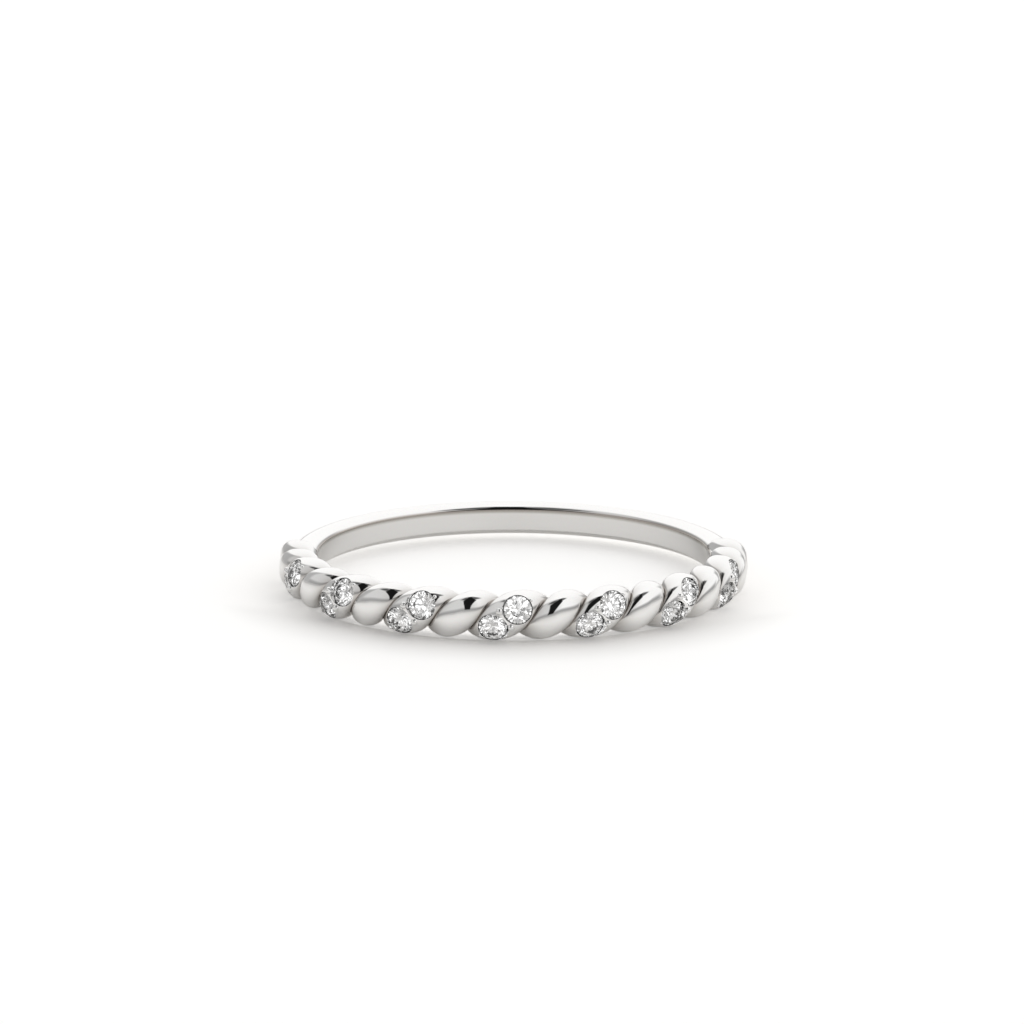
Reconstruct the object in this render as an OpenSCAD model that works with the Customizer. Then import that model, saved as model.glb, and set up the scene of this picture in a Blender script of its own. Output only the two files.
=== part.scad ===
// Rope twist ring: a slim finger ring whose front half is a twisted rope of
// slanted lobes. Every second lobe is set with two small round stones, and the
// back is a plain rounded shank. The ring lies on its side: +Z runs along the
// finger, the origin is the centre of the finger hole, and the rope's middle
// lobe faces -Y. Angles along the ring are counted from that lobe towards +X.

/* [Finger hole] */
// Diameter of the finger hole
inner_d = 17; // [15:0.5:21]

/* [Shank] */
// Diameter of the plain shank's round section
shank_d = 1.48; // [1.4:0.02:1.6]
// Depth of the flat that the hole cuts off that section
shank_cut = 0.17; // [0.12:0.01:0.22]

/* [Rope] */
// Number of lobes set with stones, an odd number
set_lobes = 7; // [3:2:9]
// Radial thickness of the rope at the crest of a plain lobe
rope_t = 1.65; // [1.55:0.05:1.9]
// Height of a plain lobe along the finger
rope_h = 1.95; // [1.85:0.05:2.2]
// Radial thickness of the rope in the valleys between lobes
core_t = 1.36; // [1.3:0.01:1.5]
// Height of the rope along the finger in the valleys
core_h = 1.1; // [1.04:0.02:1.4]
// Width of a plain lobe along the ring, from valley to valley
plain_w = 1.84; // [1.7:0.02:2.2]
// Width of a set lobe along the ring, from valley to valley
set_w = 2.24; // [2.1:0.02:2.5]
// How far a set lobe stands past a plain one, above and below
set_swell = 0.03; // [0:0.01:0.1]
// How far a set lobe's crest lies under a plain one's
set_drop = 0.02; // [0:0.01:0.08]
// How far a lobe's upper end runs past its lower end along the ring
twist = 1.34; // [1:0.02:1.5]
// Thickness of the twisted wire before the hole cuts its inner side away
wire_t = 1.74; // [1.7:0.02:1.9]
// Squareness of a plain lobe's section, where 2 is an ellipse
plain_square = 2.5; // [2:0.05:2.8]
// Squareness of a set lobe's section
set_square = 2.7; // [2:0.05:3]

/* [Stones] */
// Diameter of a stone
stone_d = 1.15; // [1:0.01:1.2]
// Metal left between the two stones of a lobe
stone_gap = 0.11; // [0.08:0.01:0.2]
// Angle of a pair of stones up from the ring's plane
row_angle = 35; // [30:1:40]
// Lean of a stone, up or down, from square to the ring
stone_lean = 16; // [10:1:20]
// How far a stone's table lies under the top of its lobe
stone_sunk = 0.03; // [0:0.01:0.08]
// Share of the stone's diameter that its table takes
table_share = 0.56; // [0.5:0.01:0.62]
// Angle of the crown's main facets
crown_angle = 34.5; // [32:0.5:36]
// Angle of the pavilion's main facets
pavilion_angle = 41; // [39:0.5:42]
// Thickness of the stone's girdle
girdle_t = 0.03; // [0.02:0.01:0.05]

/* [Setting] */
// Clearance between a stone and its seat
seat_gap = 0.025; // [0.015:0.005:0.04]
// How much a seat's mouth widens above the stone
seat_flare = 0.05; // [0:0.01:0.08]
// Diameter of the beads beside a pair of stones
side_bead_d = 0.32; // [0.26:0.01:0.36]
// Distance of the side beads from the middle of their lobe
side_bead_at = 0.4; // [0.36:0.01:0.44]
// Diameter of the beads at the ends of a pair of stones
end_bead_d = 0.18; // [0.14:0.01:0.22]

/* [Hidden] */
// Set lobes on each side of the middle one, and in all, as whole numbers
side_lobes = round((set_lobes - 1) / 2);
lobe_count = 2 * side_lobes + 1;

inner_r = inner_d / 2;
// Stock left inside the hole, which the bore takes away
bore_stock = 0.1;
// Past the ends of what is cut, so that no skin is left
past = 1;

// Shank: the middle of its round section, and half the straight wall that the
// hole leaves on it
shank_mid = inner_r + shank_d / 2 - shank_cut;
wall_half = sqrt(shank_cut * (shank_d - shank_cut));

// Rope: the thin round wall behind the lobes that the finger touches, which ends
// a hair short of the shank's, how deep it covers the lobes' cut inner side, and
// the middle of the rope's section
sleeve_t = 0.5;
sleeve_half = wall_half - 0.015;
sleeve_skin = 0.02;
crest_r = inner_r + rope_t;
crest_mid = crest_r - wire_t / 2;

// Angles along the ring
mm_deg = 180 / PI / crest_r;
plain_deg = plain_w * mm_deg;
set_deg = set_w * mm_deg;
pitch_deg = (plain_deg + set_deg) / 2;
twist_deg = twist * mm_deg;
end_lobe = lobe_count + 1;

// Steps across a lobe, round the section's outer part and round its inner part
set_steps = 10;
plain_steps = 8;
outer_steps = 16;
inner_steps = 5;
// Half of the section that counts as outer, in degrees from the crest
outer_half = 105;
// How far round the section, in degrees from the crest, the wires run on in their
// spiral before the hidden inner side brings them back
spiral_end = 130;
// Flatness of a lobe's top, and steepness of its sides down to the valleys
plain_dome = 1.6;
set_dome = 1.9;
dome_sides = 1.8;

stone_r = stone_d / 2;
table_r = stone_r * table_share;
crown_h = (stone_r - table_r) * tan(crown_angle);
pavilion_h = stone_r * tan(pavilion_angle);
// Where the crown's stars end and the pavilion's lower halves start
star_share = 0.52;
half_share = 0.22;
// Half the angle between two main facets
half_step = 22.5;

// A pair of stones: offsets of each stone from the lobe's middle
pair_pitch = stone_d + stone_gap;
stone_along = pair_pitch / 2 * cos(row_angle);
stone_up = pair_pitch / 2 * sin(row_angle);
seat_r = lobe_r(stone_along, stone_up) - stone_sunk - crown_h - girdle_t / 2;
// Height that a seat is cut clear above the girdle
seat_clear = 0.6;
// How far a bead's centre lies under the lobe's surface
bead_sunk = 0.04;
// Place of an end bead along the row, from the lobe's middle, with its grip
// over the stone's edge
end_grip = 0.02;
end_bead_at = pair_pitch / 2 + stone_r + end_bead_d / 2 - end_grip;

function stone_name(i) = str(i < 10 ? "stone_0" : "stone_", i);
function is_set(k) = k % 2 == 0 && abs(k) < lobe_count;
function lobe_deg(k) = is_set(k) ? set_deg : plain_deg;
function lobe_at(k) = abs(k) < end_lobe ? k * pitch_deg
                    : sign(k) * (lobe_count * pitch_deg + plain_deg);

// Signed power, for the rounded-square sections
function spow(x, n) = sign(x) * pow(abs(x), 2 / n);
// The value a share s of the way from a to b
function mix(a, b, s) = a + (b - a) * s;
// Height of a dome, 1 in the middle of its lobe and 0 in the valleys
function dome(u, n) = pow(max(0, 1 - pow(abs(u), n)), 1 / dome_sides);

// Rope: the angles round its section, finer on the outer side
section_angles = concat(
    [for (i = [0:outer_steps]) outer_half * (2 * i / outer_steps - 1)],
    [for (i = [1:inner_steps]) outer_half + (360 - 2 * outer_half) * i / (inner_steps + 1)]);

// Stations along the rope as [angle, dome height, 1 for a set lobe]
stations = concat(
    [for (k = [-end_lobe:end_lobe]) let (n = is_set(k) ? set_steps : plain_steps)
        for (j = [0:n - 1]) let (u = -cos(180 * j / n))
            [lobe_at(k) + u * lobe_deg(k) / 2, dome(u, is_set(k) ? set_dome : plain_dome),
             is_set(k) ? 1 : 0]],
    [[lobe_at(end_lobe) + plain_deg / 2, 0, 0]]);

// How far along the ring the spiral has run at section angle t, in degrees
function slide(t) = abs(t) < spiral_end ? twist_deg * t / 180
    : twist_deg * spiral_end / 180 * sign(t) * (180 - abs(t)) / (180 - spiral_end);

// One point of the rope's skin, at a station and a section angle. The section
// goes from the core in a valley to the full lobe at a crest, and lies flat where
// the hole cuts it.
function rope_point(s, t) = let (
    rise = s[1], set = s[2],
    reach = mix(inner_r + core_t - crest_mid, wire_t / 2 - set_drop * set, rise),
    up = mix(core_h, rope_h + 2 * set_swell * set, rise) / 2,
    square = mix(2, mix(plain_square, set_square, set), rise),
    r = max(crest_mid + reach * spow(cos(t), square), inner_r + sleeve_skin),
    z = up * spow(sin(t), square),
    a = s[0] + slide(t > 180 ? t - 360 : t) - 90)
    [r * cos(a), r * sin(a), z];

// Radius of a set lobe's surface above a place on it. Which station reaches the
// place depends on the section angle there and the angle on the station's rise,
// so the two are found in turns, from the crest on.
function lobe_r(along, up, rise = 1, turns = 6) = let (
    square = mix(2, set_square, rise),
    half = mix(core_h / 2, rope_h / 2 + set_swell, rise),
    t = asin(pow(min(1, abs(up) / half), square / 2)),
    reach = mix(inner_r + core_t - crest_mid, wire_t / 2 - set_drop, rise))
    turns == 0 ? crest_mid + reach * spow(cos(t), square)
    : lobe_r(along, up, dome((along * sign(up) - twist * t / 180) * 2 / set_w, set_dome), turns - 1);

module rope() {
    m = len(section_angles);
    n = len(stations);
    skin = [for (i = [0:n - 2], j = [0:m - 1], h = [0, 1]) let (
        a = i * m + j, b = i * m + (j + 1) % m, c = a + m, d = b + m)
        h == 0 ? [a, b, d] : [a, d, c]];
    ends = [for (j = [1:m - 2], h = [0, 1]) h == 0 ? [0, j + 1, j]
        : [(n - 1) * m, (n - 1) * m + j, (n - 1) * m + j + 1]];
    polyhedron([for (s = stations, t = section_angles) rope_point(s, t)],
        concat(skin, ends), convexity = 10);
}

// The plain shank, cut off on the slant inside the two end lobes
module shank() {
    start = lobe_at(end_lobe) - twist_deg / 2;
    slant = atan(twist / rope_h);
    difference() {
        rotate([0, 0, start - 90])
            rotate_extrude(angle = 360 - 2 * start, $fn = 180)
                translate([shank_mid, 0])
                    circle(d = shank_d, $fn = 48);
        for (side = [-1, 1])
            rotate([0, 0, side * lobe_at(end_lobe) - 90])
                rotate([-slant, 0, 0])
                    translate([inner_r - past, side > 0 ? -rope_t * 2 : 0, -rope_h])
                        cube([shank_d + 2 * past, rope_t * 2, 2 * rope_h]);
    }
}

// The wall behind the rope that the finger touches
module sleeve() {
    rotate_extrude($fn = 180)
        translate([inner_r - bore_stock, -sleeve_half])
            square([sleeve_t + bore_stock, 2 * sleeve_half]);
}

// Puts its children on a set lobe, with +Z out of the surface: along and up are
// measured from the lobe's middle, and lean tips them up
module on_lobe(k, along, up, r, lean) {
    rotate([0, 0, lobe_at(k) + along * mm_deg - 90])
        translate([r, 0, up])
            rotate([0, 90 - lean, 0])
                children();
}

// The cut for one stone: a cone under the girdle and a widening mouth above it
module seat() {
    g = girdle_t / 2 + seat_gap;
    r = stone_r + seat_gap;
    rotate_extrude($fn = 48)
        polygon([[0, -pavilion_h - g - seat_gap], [r, -g], [r, g],
                 [r + seat_flare, crown_h + g], [r + seat_flare, seat_clear], [0, seat_clear]]);
}

// The four grains of metal that hold the stones of one lobe
module beads(k) {
    for (side = [-1, 1]) {
        side_along = side * side_bead_at * sin(row_angle);
        side_up = -side * side_bead_at * cos(row_angle);
        on_lobe(k, side_along, side_up, lobe_r(side_along, side_up) - bead_sunk, 0)
            sphere(d = side_bead_d, $fn = 24);
        end_along = side * end_bead_at * cos(row_angle);
        end_up = side * end_bead_at * sin(row_angle);
        on_lobe(k, end_along, end_up, lobe_r(end_along, end_up) - bead_sunk, 0)
            sphere(d = end_bead_d, $fn = 24);
    }
}

module band() {
    color("gainsboro")
        difference() {
            union() {
                shank();
                sleeve();
                rope();
                for (k = [-2 * side_lobes:2:2 * side_lobes]) beads(k);
            }
            translate([0, 0, -rope_h])
                cylinder(r = inner_r, h = 2 * rope_h, $fn = 180);
            for (k = [-2 * side_lobes:2:2 * side_lobes], side = [-1, 1])
                on_lobe(k, side * stone_along, side * stone_up, seat_r, side * stone_lean)
                    seat();
        }
}

// A ring of eight or sixteen points: radius, height, count and first angle
function ring_points(r, z, n, first) = [for (i = [0:n - 1])
    [r * cos(first + 360 * i / n), r * sin(first + 360 * i / n), z]];

// A round brilliant: table, stars, kites and upper halves over the girdle,
// lower halves and mains under it. The star and half points lie on the planes of
// the kites and the mains, so that those facets are flat.
module brilliant() {
    g = girdle_t / 2;
    star_r = table_r + (stone_r - table_r) * star_share;
    star_z = g + (stone_r - star_r * cos(half_step)) * tan(crown_angle);
    half_r = stone_r * half_share / cos(half_step);
    half_z = -g - (stone_r - half_r * cos(half_step)) * tan(pavilion_angle);
    points = concat(
        ring_points(table_r, g + crown_h, 8, 0),
        ring_points(star_r, star_z, 8, half_step),
        ring_points(stone_r, g, 16, 0),
        ring_points(stone_r, -g, 16, 0),
        ring_points(half_r, half_z, 8, half_step),
        [[0, 0, -g - pavilion_h]]);
    star = 8;
    upper = 16;
    lower = 32;
    half = 48;
    culet = 56;
    table = [[for (i = [7:-1:0]) i]];
    crown = [for (i = [0:7]) let (j = (i + 1) % 8, h = (i + 7) % 8) each [
        [i, j, star + i],
        [i, star + i, upper + 2 * i],
        [i, upper + 2 * i, star + h],
        [star + i, upper + 2 * i + 1, upper + 2 * i],
        [star + i, upper + 2 * j, upper + 2 * i + 1]]];
    girdle = [for (i = [0:15]) let (j = (i + 1) % 16) each [
        [upper + i, upper + j, lower + j],
        [upper + i, lower + j, lower + i]]];
    pavilion = [for (i = [0:7]) let (j = (i + 1) % 8, h = (i + 7) % 8) each [
        [half + i, lower + 2 * i, lower + 2 * i + 1],
        [half + i, lower + 2 * i + 1, lower + 2 * j],
        [culet, lower + 2 * i, half + i],
        [culet, half + h, lower + 2 * i]]];
    polyhedron(points, concat(table, crown, girdle, pavilion));
}

// One stone, by its number from the rope's left end: odd ones are the lower
// stone of their lobe and even ones the upper
module stone(i) {
    lobe = 2 * (ceil(i / 2) - 1 - side_lobes);
    side = i % 2 == 0 ? 1 : -1;
    color("aliceblue")
        on_lobe(lobe, side * stone_along, side * stone_up, seat_r, side * stone_lean)
            brilliant();
}

band();
for (i = [1:2 * lobe_count])
    stone(i);
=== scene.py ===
# %% [markdown]
# # Rope twist ring
# A slim finger ring of white metal lies on its side. Its front half is a twisted
# rope of slanted lobes. Every second lobe is set with two small diamonds, and
# the back is a plain rounded shank.
#
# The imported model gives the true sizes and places. Here the band gets its
# polished skin, the stones get their fire, and both get a studio to reflect.

# %% Load the frame
import math

import bpy
import numpy as np
from mathutils import Matrix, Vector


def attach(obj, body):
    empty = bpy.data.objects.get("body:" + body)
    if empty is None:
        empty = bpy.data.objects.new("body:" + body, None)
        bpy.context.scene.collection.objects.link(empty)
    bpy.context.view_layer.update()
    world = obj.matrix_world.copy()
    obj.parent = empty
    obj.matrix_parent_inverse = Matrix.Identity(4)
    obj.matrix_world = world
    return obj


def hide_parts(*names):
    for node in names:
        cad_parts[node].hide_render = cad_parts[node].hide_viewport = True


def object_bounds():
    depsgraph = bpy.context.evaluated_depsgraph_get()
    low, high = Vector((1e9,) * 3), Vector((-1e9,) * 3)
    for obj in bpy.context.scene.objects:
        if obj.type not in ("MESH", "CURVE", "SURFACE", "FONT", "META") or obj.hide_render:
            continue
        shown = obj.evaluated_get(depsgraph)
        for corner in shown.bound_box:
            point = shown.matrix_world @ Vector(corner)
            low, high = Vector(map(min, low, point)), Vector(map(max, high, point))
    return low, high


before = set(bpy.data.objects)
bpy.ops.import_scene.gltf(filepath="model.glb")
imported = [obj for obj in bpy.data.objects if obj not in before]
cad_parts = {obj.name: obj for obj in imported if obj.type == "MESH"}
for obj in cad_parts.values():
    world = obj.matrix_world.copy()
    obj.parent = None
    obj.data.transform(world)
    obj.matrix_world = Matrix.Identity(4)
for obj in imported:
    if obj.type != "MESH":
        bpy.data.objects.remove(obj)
cad_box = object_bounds()
MM = 0.001
print("nodes:", len(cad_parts), "box:", cad_box)

# %% [markdown]
# ## Sizes
# A maker works from a few sizes, and so does this file. All lengths are in
# millimetres here and become metres when a mesh is filled. Angles along the ring
# are counted from the middle of the rope, which faces -Y, towards +X.

# %% The ring's own sizes
HOLE_R = 8.5
SHANK_T = 1.31
SHANK_H = 1.48
ROPE_T = 1.65
ROPE_HALF = 0.975
CORE_T = 1.36
CORE_HALF = 0.55
WIRE_HALF = 0.87
WALL_HALF = 0.46
PLAIN_SQUARE = 2.5
SET_SQUARE = 2.7
SET_LOBES = 7
PLAIN_W = 1.84
SET_W = 2.24
SET_SWELL = 0.03
SET_DROP = 0.02
TWIST = 1.34
SPIRAL_END = 150
CREST_R = HOLE_R + ROPE_T
# degrees along the ring for a millimetre on the crests
MM_DEG = 180 / math.pi / CREST_R
END_LOBE = SET_LOBES + 1
floor_z = float(cad_box[0][2])
print("crest radius", CREST_R, "mm, floor at", floor_z)

# %% [markdown]
# ## Camera
# The camera looks down at the ring from about 13 degrees, a little to the right
# of the rope's middle, through a long lens, so the far side of the ring is only
# a little smaller than the near one. It could be placed by eye, but then the ring
# would never lie quite on the photo's outline. So the distance, the angles and the
# lens were fitted to the finger hole's and the rim's ellipses. A small upward shift
# leaves the ring under the middle of the picture.

# %% Camera
CAM_DISTANCE = 0.137
CAM_ELEVATION = 13.3
CAM_AZIMUTH = 1.85
CAM_ROLL = 0.2
CAM_LENS = 111
CAM_SHIFT = (-0.0014, 0.0491)

cam_data = bpy.data.cameras.new("camera")
cam_data.lens = CAM_LENS
cam_data.sensor_width = 36
cam_data.clip_start = 0.005
cam_data.clip_end = 20
cam_data.shift_x, cam_data.shift_y = CAM_SHIFT
camera = bpy.data.objects.new("camera", cam_data)
bpy.context.collection.objects.link(camera)
elevation, azimuth = math.radians(CAM_ELEVATION), math.radians(CAM_AZIMUTH)
camera.location = (
    CAM_DISTANCE * math.cos(elevation) * math.sin(azimuth),
    -CAM_DISTANCE * math.cos(elevation) * math.cos(azimuth),
    CAM_DISTANCE * math.sin(elevation),
)
camera.rotation_euler = (Matrix.Rotation(azimuth, 3, "Z")
                         @ Matrix.Rotation(math.pi / 2 - elevation, 3, "X")
                         @ Matrix.Rotation(math.radians(CAM_ROLL), 3, "Z")).to_euler()
bpy.context.scene.camera = camera
print("camera at", tuple(round(v, 4) for v in camera.location))

# %% [markdown]
# ## Helpers for meshes
# Every new piece is a grid of points worked out with numpy as whole arrays. It
# could be modelled by hand, but a formula can be changed and read again. A grid
# may close on itself along either side, as the skin of a ring does along both.


# %% Mesh from a grid
def grid_faces(rows, cols, close_rows, close_cols):
    """Quads between neighbouring points of a rows by cols grid, numbered row by row."""
    i = np.arange(rows if close_rows else rows - 1)[:, None]
    j = np.arange(cols if close_cols else cols - 1)[None, :]
    i2, j2 = (i + 1) % rows, (j + 1) % cols
    quads = np.stack([i * cols + j, i2 * cols + j, i2 * cols + j2, i * cols + j2], axis=-1)
    return quads.reshape(-1, 4)


def mesh_object(name, points_mm, faces, material=None):
    """Object whose mesh holds the points, given in millimetres, and the faces."""
    mesh = bpy.data.meshes.new(name)
    mesh.from_pydata((np.asarray(points_mm).reshape(-1, 3) * MM).tolist(), [], faces.tolist())
    mesh.validate()
    mesh.shade_smooth()
    obj = bpy.data.objects.new(name, mesh)
    bpy.context.collection.objects.link(obj)
    if material:
        mesh.materials.append(material)
    return obj


print("mesh helpers ready")

# %% [markdown]
# ## Helpers for materials
# A material is a tree of nodes. Each helper adds one node, fills its inputs with
# plain values or with the outputs of other nodes, and hands back its output, so
# that the lines below read like a sum.


# %% Nodes
def fill(tree, socket, value):
    """Gives an input a plain value, or links another node's output to it."""
    if isinstance(value, bpy.types.NodeSocket):
        tree.links.new(value, socket)
    else:
        socket.default_value = value


def add_node(tree, kind, inputs=None, **settings):
    """New node with its settings made, then its inputs filled by name or number."""
    node = tree.nodes.new(kind)
    for label, value in settings.items():
        setattr(node, label, value)
    for label, value in (inputs or {}).items():
        fill(tree, node.inputs[label], value)
    return node


def maths(tree, operation, *values):
    """Output of a Math node over numbers or sockets."""
    return add_node(tree, "ShaderNodeMath", dict(enumerate(values)), operation=operation).outputs[0]


def map_range(tree, value, low, high, first=0.0, last=1.0, kind="LINEAR"):
    """A socket's value brought from low..high to first..last, and held at both ends."""
    labels = ("Value", "From Min", "From Max", "To Min", "To Max")
    numbers = dict(zip(labels, (value, low, high, first, last)))
    return add_node(tree, "ShaderNodeMapRange", numbers, interpolation_type=kind).outputs[0]


def colours(tree, share, first, second, blend="MIX"):
    """Output of a colour mix from the first to the second by a share."""
    # inputs 6 and 7 and output 2 are the ones for colours
    mixed = add_node(tree, "ShaderNodeMix", {"Factor": share, 6: first, 7: second},
                     data_type="RGBA", blend_type=blend)
    return mixed.outputs[2]


def noise(tree, place, scale, detail=2.0):
    """Noise texture over a place."""
    return add_node(tree, "ShaderNodeTexNoise", {"Vector": place, "Scale": scale, "Detail": detail})


def new_material(name):
    """Material with its node tree and its Principled shader."""
    material = bpy.data.materials.new(name)
    material.use_nodes = True
    return material, material.node_tree, material.node_tree.nodes["Principled BSDF"]


print("node helpers ready")

# %% [markdown]
# ## Metal and stone
# The band is white metal with a mirror polish. Such a mirror is never perfect:
# a buffing wheel leaves faint waves and hairlines, which soften its highlights
# a little. The valleys between the lobes and the upper edge of the finger's wall
# get painted shade, a darker colour where shade falls. A picture of scratches
# would do for the marks, but it shows seams and blurs close by. Noise needs no
# picture and no unwrapping, and one node group makes the marks for any metal.


# %% Polish marks, a shared node group
HAIRLINE_SHADE = 0.05
HAIRLINE_ROUGHNESS = 0.05


def new_group(name, inputs, outputs):
    """Empty shader node group with named float or colour sockets."""
    group = bpy.data.node_groups.new(name, "ShaderNodeTree")
    for label, kind, value in inputs:
        socket = group.interface.new_socket(label, in_out="INPUT", socket_type=kind)
        socket.default_value = value
    for label, kind in outputs:
        group.interface.new_socket(label, in_out="OUTPUT", socket_type=kind)
    return group


def polish_marks():
    """Waves as a height, and hairlines in colour and roughness."""
    group = new_group(
        "polish_marks",
        [("Color", "NodeSocketColor", (1, 1, 1, 1)),
         ("Roughness", "NodeSocketFloat", 0.05),
         ("Wave Scale", "NodeSocketFloat", 900.0),
         ("Hairline Scale", "NodeSocketFloat", 9000.0)],
        [("Color", "NodeSocketColor"), ("Roughness", "NodeSocketFloat"), ("Height", "NodeSocketFloat")],
    )
    given = add_node(group, "NodeGroupInput").outputs
    place = add_node(group, "ShaderNodeTexCoord").outputs["Object"]
    waves = noise(group, place, given["Wave Scale"])
    hairs = noise(group, place, given["Hairline Scale"], 3.0)
    shade = colours(group, HAIRLINE_SHADE, given["Color"], hairs.outputs["Color"], "MULTIPLY")
    rough = maths(group, "MULTIPLY_ADD", hairs.outputs["Fac"], HAIRLINE_ROUGHNESS, given["Roughness"])
    add_node(group, "NodeGroupOutput",
             {"Color": shade, "Roughness": rough, "Height": waves.outputs["Fac"]})
    return group


polish = polish_marks()
print("polish marks:", len(polish.nodes), "nodes")

# %% The band's metal
METAL_BRIGHT = (0.95, 0.948, 0.945, 1)
# painted shade: the metal's colour in the valleys and along the wall's upper edge
METAL_PAINTED_SHADE = (0.4, 0.365, 0.335, 1)
METAL_ROUGHNESS = 0.035
WAVE_STRENGTH = 0.05
WAVE_HEIGHT = 0.00001


def white_metal():
    """Mirror-polished white metal, its colour darkened by painted shade where the mesh
    stores it, with polish marks in its colour, roughness and normal."""
    material, tree, shader = new_material("white_metal")
    # painted shade, stored at each point of the skin, mixes the colour towards the darker one
    valley = add_node(tree, "ShaderNodeAttribute", attribute_name="valley").outputs["Fac"]
    marks = add_node(tree, "ShaderNodeGroup", node_tree=polish)
    fill(tree, marks.inputs["Color"], colours(tree, valley, METAL_BRIGHT, METAL_PAINTED_SHADE))
    marks.inputs["Roughness"].default_value = METAL_ROUGHNESS
    bump = add_node(tree, "ShaderNodeBump", {"Height": marks.outputs["Height"],
                                             "Strength": WAVE_STRENGTH, "Distance": WAVE_HEIGHT})
    shader.inputs["Metallic"].default_value = 1
    fill(tree, shader.inputs["Base Color"], marks.outputs["Color"])
    fill(tree, shader.inputs["Roughness"], marks.outputs["Roughness"])
    fill(tree, shader.inputs["Normal"], bump.outputs["Normal"])
    return material


band_metal = white_metal()
print("metal ready")

# %% [markdown]
# ## Crystal
# A diamond bends light more than glass does, so most of what enters at its table
# comes back out of it, and each facet shows another piece of the studio. Sparkle
# could be painted on, but it would stay the same from every side. Here the crystal
# is clear, with a diamond's index of refraction, and the flat facets do the rest.

# %% The stones' crystal
DIAMOND_IOR = 2.42
CRYSTAL_TINT = (0.97, 0.975, 0.99, 1)
CRYSTAL_CLEAR = (1, 1, 1, 1)
CLOUD_SCALE = 1500


def diamond():
    """Clear crystal with a diamond's refraction and a breath of cloud in its colour."""
    material, tree, shader = new_material("diamond")
    shader.inputs["Transmission Weight"].default_value = 1
    shader.inputs["IOR"].default_value = DIAMOND_IOR
    shader.inputs["Roughness"].default_value = 0
    place = add_node(tree, "ShaderNodeTexCoord").outputs["Object"]
    cloud = noise(tree, place, CLOUD_SCALE).outputs["Fac"]
    fill(tree, shader.inputs["Base Color"], colours(tree, cloud, CRYSTAL_TINT, CRYSTAL_CLEAR))
    return material


stone_crystal = diamond()
print("crystal ready")

# %% [markdown]
# ## The band's skin
# On the real ring the band is one casting. It could be joined from a rope, a
# shank and an inner wall with booleans, but the joints would be knife-sharp.
# Instead every section of the ring is drawn outwards from one middle point: for
# each direction the skin lies at the furthest of rope, wall and shank, and a
# soft maximum rounds the corner where one takes over from the other. A lobe is a
# dome along the ring, and its slant comes from sliding each point of a section
# along the ring by its angle round it, as a twisted wire does.


# %% Lobes along the rope
def is_set(k):
    """True for the lobes that carry stones: every second one, short of the ends."""
    return k % 2 == 0 and abs(k) < SET_LOBES


def lobe_width(k):
    """Width of a lobe along the ring, in degrees."""
    return (SET_W if is_set(k) else PLAIN_W) * MM_DEG


def lobe_angle(k):
    """Angle of a lobe's middle: equal steps, and a plain one more at each end."""
    pitch = (SET_W + PLAIN_W) / 2 * MM_DEG
    if abs(k) < END_LOBE:
        return k * pitch
    return math.copysign(SET_LOBES * pitch + PLAIN_W * MM_DEG, k)


ROPE_END = lobe_angle(END_LOBE) + lobe_width(END_LOBE) / 2
print("the rope ends", round(ROPE_END, 1), "degrees from its middle")

# %% Stations along the ring
STEPS_SET = 34
STEPS_PLAIN = 28
STEPS_SHANK = 150
DOME_SET = 1.9
DOME_PLAIN = 1.6
DOME_SIDES = 1.8


def stations():
    """Angles along the ring with, for each, the dome's height and the share of set
    lobe. Within a lobe the angles are minus the cosine of equal steps, so that they
    crowd into the valleys, where the skin turns fastest. The dome's height is
    (1 - |u|^a)^(1/b), with u running from -1 to 1 across the lobe."""
    angle, dome, setness = [], [], []
    for k in range(-END_LOBE, END_LOBE + 1):
        steps = STEPS_SET if is_set(k) else STEPS_PLAIN
        u = -np.cos(np.pi * np.arange(steps) / steps)
        angle.append(lobe_angle(k) + u * lobe_width(k) / 2)
        dome.append((1 - np.abs(u) ** (DOME_SET if is_set(k) else DOME_PLAIN)) ** (1 / DOME_SIDES))
        setness.append(np.full(steps, float(is_set(k))))
    back = np.linspace(ROPE_END, 360 - ROPE_END, STEPS_SHANK + 1)[:-1]
    angle.append(back)
    dome.append(np.zeros(STEPS_SHANK))
    setness.append(np.zeros(STEPS_SHANK))
    return np.concatenate(angle), np.concatenate(dome), np.concatenate(setness)


station_angle, station_dome, station_set = stations()
print(len(station_angle), "stations")

# %% Sizes of a section, drawn outwards from its middle
ROUND_STEPS = 96
MIDDLE_DEPTH = 0.7
MIDDLE_R = HOLE_R + MIDDLE_DEPTH
SHANK_RADIUS = SHANK_H / 2
SHANK_MIDDLE = SHANK_T - SHANK_RADIUS
SOFT = 0.04
EDGE_SOFT = 0.06
SKIN_INSET = 0.004
# stretches along the ring, in degrees: the shank's start inside the last lobe, the
# core's shrinking behind that lobe to a share of its size, and the slant's end
SHANK_START = 1
CORE_FADE = 4
CORE_SHRINK = 0.5
SLANT_FADE = 40
print("sections of", ROUND_STEPS, "points round radius", MIDDLE_R, "mm")


# %% Curves that the sections share
def power(x, n):
    """Signed power 2/n of a sine or cosine, which turns a circle into a rounded square."""
    return np.sign(x) * np.abs(x) ** (2 / n)


def mix(a, b, share):
    """From a to b by a share."""
    return a + (b - a) * share


def soft_max(a, b, width=SOFT):
    """The larger of two lengths, with a rounded change from one to the other: half
    the sum of both and of the root of their squared difference plus width squared."""
    return 0.5 * (a + b + np.sqrt((a - b) ** 2 + width ** 2))


def step(x, low, high):
    """Smooth step from 0 at low to 1 at high."""
    u = np.clip((x - low) / (high - low), 0, 1)
    return u * u * (3 - 2 * u)


print("curves ready")


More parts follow.
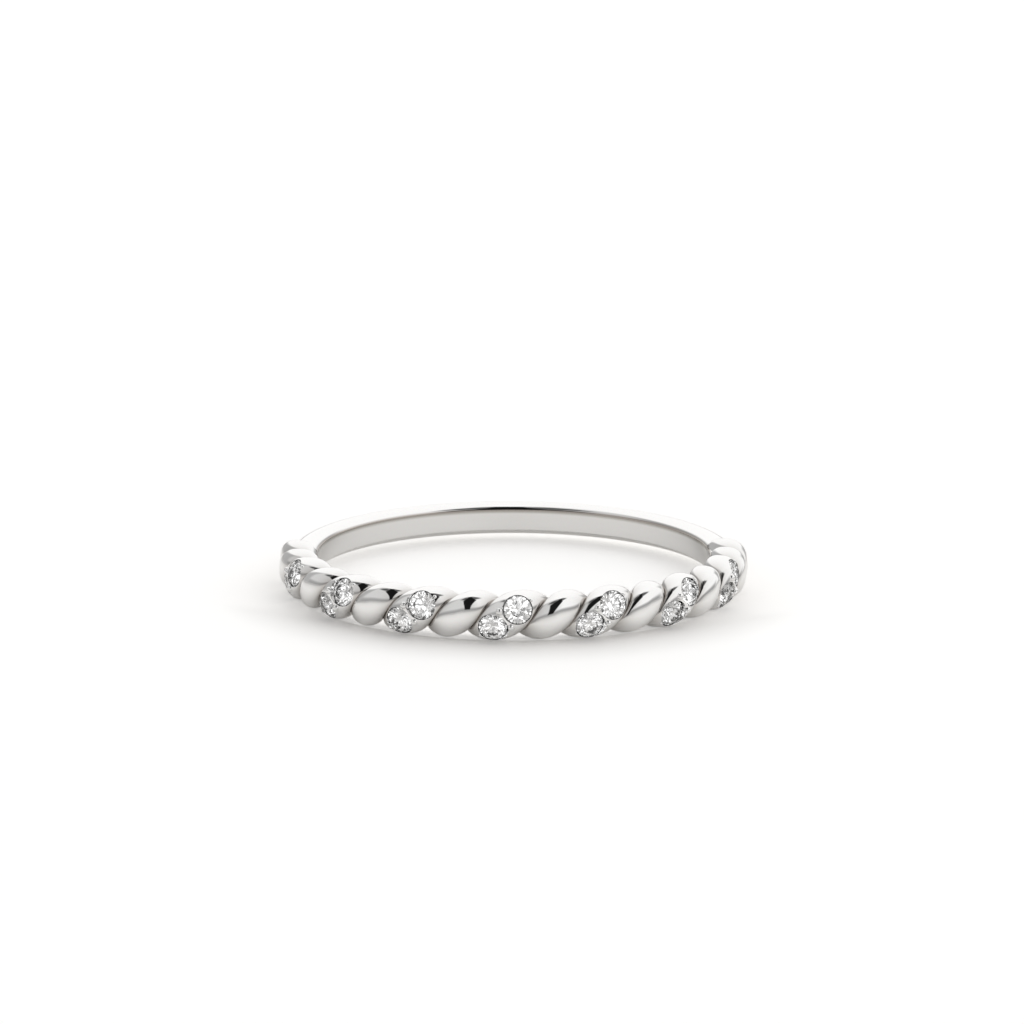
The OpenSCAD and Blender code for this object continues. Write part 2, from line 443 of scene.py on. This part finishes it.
# %% A lobe's section, and its slide along the ring
def rope_section(t, dome, setness):
    """Offset out and up from the section's middle of a point at angle t. It lies
    between the core, seen in the valleys, and a lobe's full section, by the height
    of the dome there."""
    middle = ROPE_T - WIRE_HALF
    reach = mix(CORE_T - middle, WIRE_HALF - SET_DROP * setness, dome)
    half = mix(CORE_HALF, ROPE_HALF + SET_SWELL * setness, dome)
    square = mix(2, mix(PLAIN_SQUARE, SET_SQUARE, setness), dome)
    x = HOLE_R + middle - MIDDLE_R + reach * power(np.cos(t), square)
    return x, half * power(np.sin(t), square)


def spiral(t):
    """How far along the ring, in degrees, the rope's wires have run at angle t round
    the section: in proportion to t, until the hidden inner side brings them back."""
    end = math.radians(SPIRAL_END)
    back = np.sign(t) * end * (math.pi - np.abs(t)) / (math.pi - end)
    return TWIST * MM_DEG / math.pi * np.where(np.abs(t) < end, t, back)


print("rope section ready")


# %% The wall behind the rope, and the shank
def wall_reach(dx, dz):
    """How far the straight wall on the finger's side reaches along a direction: it
    ends level at its own half height."""
    return np.where(dx < 0, WALL_HALF / np.maximum(np.abs(dz), WALL_HALF / 2), 0)


def shank_reach(dx, dz):
    """How far the round shank reaches along a direction: the far crossing of the ray
    with a circle."""
    side = MIDDLE_R - HOLE_R - SHANK_MIDDLE
    along = side * dx
    return -along + np.sqrt(along ** 2 - side ** 2 + SHANK_RADIUS ** 2) + 0 * dz


print("wall and shank ready")


# %% The whole skin
def band_points():
    """Skin of the band as a grid, stations by directions round the section. In each
    direction the reach is the largest of rope, wall and shank, and the point is then
    turned along the ring by the spiral's slide."""
    t = np.radians(np.linspace(-180, 180, ROUND_STEPS, endpoint=False))[None, :]
    s = station_angle[:, None]
    off = np.minimum(np.abs(s), 360 - np.abs(s))
    x, z = rope_section(t, station_dome[:, None], station_set[:, None])
    fade = 1 - CORE_SHRINK * step(off, ROPE_END, ROPE_END + CORE_FADE)
    rope = np.hypot(x, z)
    dx, dz = x / rope, z / rope
    middle = lobe_angle(END_LOBE)
    shank = shank_reach(dx, dz) * step(off, middle - SHANK_START, middle)
    reach = soft_max(soft_max(rope * fade, wall_reach(dx, dz)), shank) - SKIN_INSET
    radius = soft_max(MIDDLE_R + reach * dx, HOLE_R, EDGE_SOFT)
    slide = spiral(t) * (1 - step(off, ROPE_END, ROPE_END + SLANT_FADE))
    a = np.radians(s + slide - 90)
    return np.stack([radius * np.cos(a), radius * np.sin(a), reach * dz + 0 * a], axis=-1)


print("skin ready to be drawn")

# %% Painted shade on the metal
# painted shade: its growth into the valleys, the depths between which it fades in, and the line along
# the wall's upper edge
VALLEY_POWER = 1.7
VALLEY_END = 1
SHADE_START_DEPTH, FULL_SHADE_DEPTH = 0.1, 0.5
EDGE_LINE_Z = 0.47
EDGE_LINE_HALF, EDGE_LINE_OUT = 0.03, 0.1


def valley_shade(points):
    """Share of painted shade in the metal's colour at each point: most in the valleys,
    some along the upper edge of the finger's wall, none on the crests and on the
    shank. In a valley it is (1 - dome) to a power."""
    off = np.minimum(np.abs(station_angle), 360 - np.abs(station_angle))
    along = (1 - station_dome) ** VALLEY_POWER * (1 - step(off, ROPE_END - VALLEY_END, ROPE_END))
    outward = np.hypot(points[..., 0], points[..., 1])
    valley = along[:, None] * step(outward, HOLE_R + SHADE_START_DEPTH, HOLE_R + FULL_SHADE_DEPTH)
    from_edge = np.hypot(outward - HOLE_R, points[..., 2] - EDGE_LINE_Z)
    return np.maximum(valley, 1 - step(from_edge, EDGE_LINE_HALF, EDGE_LINE_OUT))


print("valley shade ready")

# %% The band
skin = band_points()
band = mesh_object("band_skin", skin, grid_faces(len(skin), ROUND_STEPS, True, True), band_metal)
# painted shade for the metal's colour, stored at each point of the skin
shade = band.data.attributes.new("valley", "FLOAT", "POINT")
shade.data.foreach_set("value", valley_shade(skin).astype(np.float32).ravel())
print("band:", len(band.data.polygons), "faces")

# %% [markdown]
# ## Seats and beads
# A setter drills a seat for each stone, drops it in and raises small beads of
# metal over its edge. The cutters and the beads are turned shapes, each a
# profile swept round its own axis, and booleans join or cut them. Beads could be
# left as loose balls, but then the seats would not cut them where a stone passes.
# So, the other way round from a setter, the beads are joined before the seats are
# cut.

# %% Sizes of stones and settings
STONE_D = 1.15
STONE_GAP = 0.11
ROW_ANGLE = math.radians(35)
STONE_LEAN = 16
STONE_SUNK = 0.03
TABLE_SHARE = 0.56
CROWN_ANGLE = math.radians(34.5)
PAVILION_ANGLE = math.radians(41)
GIRDLE_T = 0.03
SEAT_GAP = 0.025
SEAT_FLARE = 0.05
SIDE_BEAD_D = 0.32
SIDE_BEAD_AT = 0.4
END_BEAD_D = 0.18
END_BEAD_OVER = 0.02
BEAD_SUNK = 0.04
SEAT_TOP = 0.6
STONE_R = STONE_D / 2
CROWN_H = STONE_R * (1 - TABLE_SHARE) * math.tan(CROWN_ANGLE)
PAVILION_H = STONE_R * math.tan(PAVILION_ANGLE)
HALF_PAIR = (STONE_D + STONE_GAP) / 2
END_BEAD_AT = HALF_PAIR + STONE_R + END_BEAD_D / 2 - END_BEAD_OVER
LOBE_TURNS = 7
print("stones", STONE_D, "mm across, crowns", round(CROWN_H, 3), "mm high")


# %% The surface of a set lobe
def lobe_radius(along, up):
    """Radius of a set lobe's surface above a place on it. Which station reaches the
    place depends on the section angle there and the angle on the station's rise, so
    the two are found in turns, from the crest on."""
    rise, middle = 1.0, ROPE_T - WIRE_HALF
    for _ in range(LOBE_TURNS):
        square = mix(2, SET_SQUARE, rise)
        half = mix(CORE_HALF, ROPE_HALF + SET_SWELL, rise)
        t = math.asin(min(1.0, abs(up) / half) ** (square / 2))
        reach = mix(CORE_T - middle, WIRE_HALF - SET_DROP, rise)
        radius = HOLE_R + middle + reach * power(math.cos(t), square)
        u = (along * math.copysign(1, up) - TWIST * t / math.pi) * 2 / SET_W
        rise = max(0.0, 1 - abs(u) ** DOME_SET) ** (1 / DOME_SIDES)
    return radius


STONE_PLACE = (HALF_PAIR * math.cos(ROW_ANGLE), HALF_PAIR * math.sin(ROW_ANGLE))
SEAT_R = lobe_radius(*STONE_PLACE) - STONE_SUNK - CROWN_H - GIRDLE_T / 2
print("stones sit at radius", round(SEAT_R, 3), "mm")


# %% Turned shapes
def turned(profile, steps):
    """Points and faces of a profile of (radius, height) turned round its axis; the
    ends of the profile lie on the axis and are closed by a fan."""
    profile = np.array(profile, float)
    a = 2 * np.pi * np.arange(steps) / steps
    inner = profile[1:-1]
    ring = np.stack([inner[:, :1] * np.cos(a), inner[:, :1] * np.sin(a),
                     np.repeat(inner[:, 1:], steps, axis=1)], axis=-1).reshape(-1, 3)
    rows = len(inner)
    quads = grid_faces(rows, steps, False, True)[:, [0, 3, 2, 1]]
    here = np.arange(steps)
    beyond = (here + 1) % steps
    low, high = rows * steps, rows * steps + 1
    last = low - steps
    fans = np.concatenate([np.stack([np.full(steps, low), beyond, here], axis=1),
                           np.stack([np.full(steps, high), here + last, beyond + last], axis=1)])
    points = np.concatenate([ring, [[0, 0, profile[0, 1]], [0, 0, profile[-1, 1]]]])
    return points, quads.tolist() + fans.tolist()


print("turned shapes ready")


# %% Their places on the lobes
def on_lobe(points, k, along, up, radius, lean=0.0):
    """Points moved onto lobe k: +Z leaves the surface, leaned up by lean degrees."""
    c, s = math.cos(math.radians(90 - lean)), math.sin(math.radians(90 - lean))
    turned_points = np.stack([c * points[:, 0] + s * points[:, 2] + radius, points[:, 1],
                              -s * points[:, 0] + c * points[:, 2] + up], axis=1)
    a = math.radians(lobe_angle(k) + along * MM_DEG - 90)
    x = turned_points[:, 0] * math.cos(a) - turned_points[:, 1] * math.sin(a)
    y = turned_points[:, 0] * math.sin(a) + turned_points[:, 1] * math.cos(a)
    return np.stack([x, y, turned_points[:, 2]], axis=1)


def joined(name, parts):
    """One object from many (points, faces) parts."""
    points, faces, start = [], [], 0
    for part_points, part_faces in parts:
        points.append(part_points)
        faces += [[v + start for v in face] for face in part_faces]
        start += len(part_points)
    mesh = bpy.data.meshes.new(name)
    mesh.from_pydata((np.concatenate(points) * MM).tolist(), [], faces)
    obj = bpy.data.objects.new(name, mesh)
    bpy.context.collection.objects.link(obj)
    return obj


print("places ready")

# %% Cutters and beads
SEAT_STEPS = 64
BEAD_STEPS = 24
BEAD_ROWS = 11


def seat_profile():
    """Pavilion cone, straight girdle wall and widening mouth, as (radius, height)."""
    g, r = GIRDLE_T / 2 + SEAT_GAP, STONE_R + SEAT_GAP
    return [(0, -PAVILION_H - g - SEAT_GAP), (r, -g), (r, g), (r + SEAT_FLARE, CROWN_H + g),
            (r + SEAT_FLARE, SEAT_TOP), (0, SEAT_TOP)]


def bead_profile(diameter):
    """Half circle from the lower pole to the upper one."""
    a = np.radians(np.linspace(-90, 90, BEAD_ROWS))
    return np.stack([np.cos(a), np.sin(a)], axis=1) * diameter / 2


set_lobes = [k for k in range(-END_LOBE, END_LOBE + 1) if is_set(k)]
seat_parts, bead_parts = [], []
for k in set_lobes:
    for side in (-1, 1):
        points, faces = turned(seat_profile(), SEAT_STEPS)
        seat_parts.append((on_lobe(points, k, side * STONE_PLACE[0], side * STONE_PLACE[1],
                                   SEAT_R, side * STONE_LEAN), faces))
        for diameter, along, up in (
            (SIDE_BEAD_D, SIDE_BEAD_AT * math.sin(ROW_ANGLE), -SIDE_BEAD_AT * math.cos(ROW_ANGLE)),
            (END_BEAD_D, END_BEAD_AT * math.cos(ROW_ANGLE), END_BEAD_AT * math.sin(ROW_ANGLE)),
        ):
            points, faces = turned(bead_profile(diameter), BEAD_STEPS)
            bead_parts.append((on_lobe(points, k, side * along, side * up,
                                       lobe_radius(along, up) - BEAD_SUNK), faces))
print(len(seat_parts), "seats,", len(bead_parts), "beads")

# %% Join the beads and cut the seats
SHARP_ANGLE = math.radians(38)
for name, parts, operation in (("beads", bead_parts, "UNION"), ("seats", seat_parts, "DIFFERENCE")):
    tool = joined(name, parts)
    boolean = band.modifiers.new(name, "BOOLEAN")
    boolean.operation = operation
    boolean.solver = "MANIFOLD"
    boolean.object = tool
    bpy.context.view_layer.objects.active = band
    bpy.ops.object.modifier_apply(modifier=name)
    bpy.data.objects.remove(tool)
    print(name, "done:", len(band.data.polygons), "faces")
band.data.shade_smooth()
band.data.set_sharp_from_angle(angle=SHARP_ANGLE)
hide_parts("band")
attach(band, "root")

# %% [markdown]
# ## Stones
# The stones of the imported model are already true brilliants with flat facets. A
# finer copy would look no different, so they stay, and only take their crystal.

# %% Crystal on the stones
stones = [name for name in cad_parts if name.startswith("stone_")]
for name in stones:
    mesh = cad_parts[name].data
    mesh.materials.clear()
    mesh.materials.append(stone_crystal)
print(len(stones), "stones")

# %% [markdown]
# ## Studio
# A mirror shows what stands round it, so the light matters as much as the
# metal. Lamps would show as hard squares in it, and so the light comes from the
# whole sky. The world is a tent of white cloth: brightest behind and at the right,
# greyer overhead and along the horizon. In front hangs a black strip, narrow at
# the lens and wider above it, with a dark canopy over it. The two draw the black
# patches on the lobes and on the back rim. A painted glow lifts the pale floor to
# white for the camera, as in a catalogue picture, with a painted warm shadow in
# front of the ring. The metal sees a painted reflection of it instead: greyer,
# and darker inside the ring and far away.

# %% The paper's tones, and where they change
FLOOR_SEEN = (0.97, 0.965, 0.96, 1)
# painted shadow: the warm tone that the camera sees close to the ring
FLOOR_PAINTED_SHADOW = (0.95, 0.93, 0.905, 1)
# painted reflection: the tones in which the metal sees the paper, near the ring and far off
FLOOR_NEAR = (0.93, 0.915, 0.89, 1)
FLOOR_FAR = (0.3, 0.29, 0.28, 1)
FLOOR_ROUGHNESS = 0.6
FLOOR_SHEEN = 0.2
# distances from the ring's axis, in metres
FADE_FROM, FADE_TO = 0.011, 0.03
RIM_PLACE = 0.0096
RIM_SHADE = 0.0035
# places along Y between which the shadow in front of the ring, left free of painted glow, gives way to
# none behind
SHADE_FRONT, SHADE_BACK = -0.0095, -0.004
# the paper's glow, painted light, as the paper is no lamp: the shares of it that the
# metal mirrors inside the ring and outside it, and the share that is left for the
# camera close in front of the ring, so that the real shadow there shows
FLOOR_GLOW = 0.32
MIRRORED_INSIDE, MIRRORED_OUTSIDE = 0.15, 0.8
FRONT_GLOW = 0.4
print("shade within", RIM_SHADE, "m of the rim")


# %% Paper
def pale_paper():
    """Paper that is white for the camera, lifted there by a painted glow, but for a painted
    warm shadow close to the ring, and whose painted reflection in the metal is greyer
    with distance and darker inside the ring."""
    material, tree, shader = new_material("pale_paper")
    path = add_node(tree, "ShaderNodeLightPath").outputs
    place = add_node(tree, "ShaderNodeTexCoord").outputs["Object"]
    distance = add_node(tree, "ShaderNodeVectorMath", {0: place}, operation="LENGTH").outputs["Value"]
    from_rim = maths(tree, "SUBTRACT", distance, RIM_PLACE)

    # painted reflection: the tones that the metal sees, greying with distance
    far = map_range(tree, distance, FADE_FROM, FADE_TO)
    mirrored = colours(tree, far, FLOOR_NEAR, FLOOR_FAR)
    # painted shadow: a warm tone for the camera close to the rim
    clear = map_range(tree, maths(tree, "ABSOLUTE", from_rim), 0.0, RIM_SHADE)
    seen = colours(tree, clear, FLOOR_PAINTED_SHADOW, FLOOR_SEEN)
    tone = colours(tree, path["Is Glossy Ray"], seen, mirrored)

    # painted light: the paper's glow, white for the camera but for the shadow in front, and a share of
    # it for the metal
    inside = maths(tree, "LESS_THAN", from_rim, 0.0)
    along = add_node(tree, "ShaderNodeSeparateXYZ", {0: place}).outputs["Y"]
    behind = map_range(tree, along, SHADE_FRONT, SHADE_BACK)
    before = map_range(tree, from_rim, 0.0, RIM_SHADE, FRONT_GLOW)
    unshaded = maths(tree, "MAXIMUM", maths(tree, "MAXIMUM", inside, behind), before)
    for_camera = maths(tree, "MULTIPLY", unshaded, path["Is Camera Ray"])
    outside = map_range(tree, from_rim, 0.0, RIM_SHADE, MIRRORED_INSIDE, MIRRORED_OUTSIDE)
    for_metal = maths(tree, "MULTIPLY", outside, path["Is Glossy Ray"])
    glow = colours(tree, maths(tree, "MAXIMUM", for_metal, for_camera), (0, 0, 0, 1), (1, 1, 1, 1))

    shader.inputs["Roughness"].default_value = FLOOR_ROUGHNESS
    shader.inputs["Specular IOR Level"].default_value = FLOOR_SHEEN
    shader.inputs["Emission Strength"].default_value = FLOOR_GLOW
    fill(tree, shader.inputs["Base Color"], tone)
    fill(tree, shader.inputs["Emission Color"], glow)
    return material


print("paper ready")

# %% Floor
FLOOR_REACH = 6.0
corners = [(x * FLOOR_REACH, y * FLOOR_REACH, floor_z) for x, y in ((-1, -1), (1, -1), (1, 1), (-1, 1))]
floor_mesh = bpy.data.meshes.new("floor")
floor_mesh.from_pydata(corners, [], [(0, 1, 2, 3)])
floor_mesh.materials.append(pale_paper())
floor = bpy.data.objects.new("floor", floor_mesh)
bpy.context.collection.objects.link(floor)
print("floor", 2 * FLOOR_REACH, "m wide")

# %% [markdown]
# ## Tent
# The tent is no mesh but a sum of smooth steps over the direction of a ray: its
# height above the horizon and its bearing, 0 in front and growing to the right. A
# painted picture of a studio would do as well, but steps can be named and moved.
# The camera sees plain white instead of it, and the stones see a speckled light,
# which stands in for the bright and dark small things of a real room.

# %% Strengths of light, and the strip's shape
# strengths of light, 1 being white cloth in full light
LEFT_LIGHT, RIGHT_LIGHT, BACK_LIGHT = 0.68, 1.0, 1.05
HORIZON_LIGHT, CANOPY_LIGHT, ZENITH_LIGHT = 0.38, 0.1, 0.36
WALL_LIGHT, STRIP_LIGHT = 0.45, 0.01
# the strip's half width, in sines: at the horizon, its growth with the squared height,
# and the line that narrows it again towards the zenith
STRIP_MIDDLE, STRIP_HALF, STRIP_GROWTH = 0.03, 0.11, 0.3
STRIP_TAPER, STRIP_TOP = -1.6, 1.68
# the pattern of light that only the stones see
SPARKLE_SCALE = 7
SPARKLE_RANGE = (0.45, 0.55, 0.45, 1.9)
LAMP_COLOUR = (1, 0.995, 0.985, 1)
WHITE = (1, 1, 1, 1)
print("light from", STRIP_LIGHT, "to", BACK_LIGHT)

# %% World
world = bpy.data.worlds.new("studio")
bpy.context.scene.world = world
world.use_nodes = True
sky = world.node_tree
sky.nodes.clear()


def ramp(value, low, high, first=0.0, last=1.0):
    """Smooth change of a socket's value from first to last, low to high in degrees."""
    return map_range(sky, value, math.radians(low), math.radians(high), first, last, "SMOOTHSTEP")


def sky_maths(operation, *values):
    """A Math node of the sky."""
    return maths(sky, operation, *values)


def blend(a, b, share):
    """From a to b, numbers or sockets, by a share."""
    return sky_maths("ADD", sky_maths("MULTIPLY", a, sky_maths("SUBTRACT", 1, share)),
                     sky_maths("MULTIPLY", b, share))


print("sky helpers ready")

# %% The cloth, by height and by bearing
direction = add_node(sky, "ShaderNodeTexCoord").outputs["Generated"]
split = add_node(sky, "ShaderNodeSeparateXYZ", {0: direction}).outputs
height = sky_maths("ARCSINE", split["Z"])
bearing = sky_maths("ARCTAN2", split["X"], sky_maths("MULTIPLY", split["Y"], -1))
turn = sky_maths("ABSOLUTE", bearing)
light = ramp(bearing, 0, 45, LEFT_LIGHT, RIGHT_LIGHT)
light = blend(HORIZON_LIGHT, light, ramp(height, 5, 18))
canopy = sky_maths("MULTIPLY", ramp(height, 58, 68), ramp(turn, 80, 100, 1, 0))
light = blend(light, CANOPY_LIGHT, canopy)
light = blend(light, ZENITH_LIGHT, ramp(height, 76, 84))
light = blend(light, BACK_LIGHT, ramp(turn, 100, 135))
print("tent ready")

# %% Its two side walls, which end before the back and below a slanted edge
slanted = sky_maths("ADD", height, turn)
left_wall = sky_maths("MULTIPLY", ramp(bearing, -115, -95, 1, 0), ramp(slanted, 160, 175, 1, 0))
right_wall = sky_maths("MULTIPLY", ramp(bearing, 135, 148), ramp(slanted, 160, 178, 1, 0))
light = blend(light, WALL_LIGHT, sky_maths("ADD", left_wall, right_wall))
print("side walls ready")

# %% The black strip in front
wide = sky_maths("MULTIPLY_ADD", sky_maths("POWER", split["Z"], 2), STRIP_GROWTH, STRIP_HALF)
tapered = sky_maths("MULTIPLY_ADD", split["Z"], STRIP_TAPER, STRIP_TOP)
aside = sky_maths("ABSOLUTE", sky_maths("SUBTRACT", split["X"], STRIP_MIDDLE))
beside = sky_maths("SUBTRACT", aside, sky_maths("MINIMUM", wide, tapered))
ahead = sky_maths("MULTIPLY", ramp(height, 2, 7), ramp(turn, 85, 95, 1, 0))
light = blend(light, STRIP_LIGHT, sky_maths("MULTIPLY", ramp(beside, -1, 1, 1, 0), ahead))
print("strip ready")

# %% Sparkle for the stones, and a plain white backdrop for the camera
path = add_node(sky, "ShaderNodeLightPath").outputs
speckle = noise(sky, direction, SPARKLE_SCALE, 1.0).outputs["Fac"]
sparkle = map_range(sky, speckle, *SPARKLE_RANGE)
light = blend(light, sparkle, path["Is Transmission Ray"])
lit = add_node(sky, "ShaderNodeBackground", {"Color": LAMP_COLOUR, "Strength": light})
seen = add_node(sky, "ShaderNodeBackground", {"Color": WHITE})
choice = add_node(sky, "ShaderNodeMixShader",
                  {0: path["Is Camera Ray"], 1: lit.outputs[0], 2: seen.outputs[0]})
add_node(sky, "ShaderNodeOutputWorld", {"Surface": choice.outputs[0]})
print("sky:", len(sky.nodes), "nodes")

# %% Plain colours, as the photo has them
view = bpy.context.scene.view_settings
view.view_transform = "Standard"
view.look = "None"
print("studio ready")
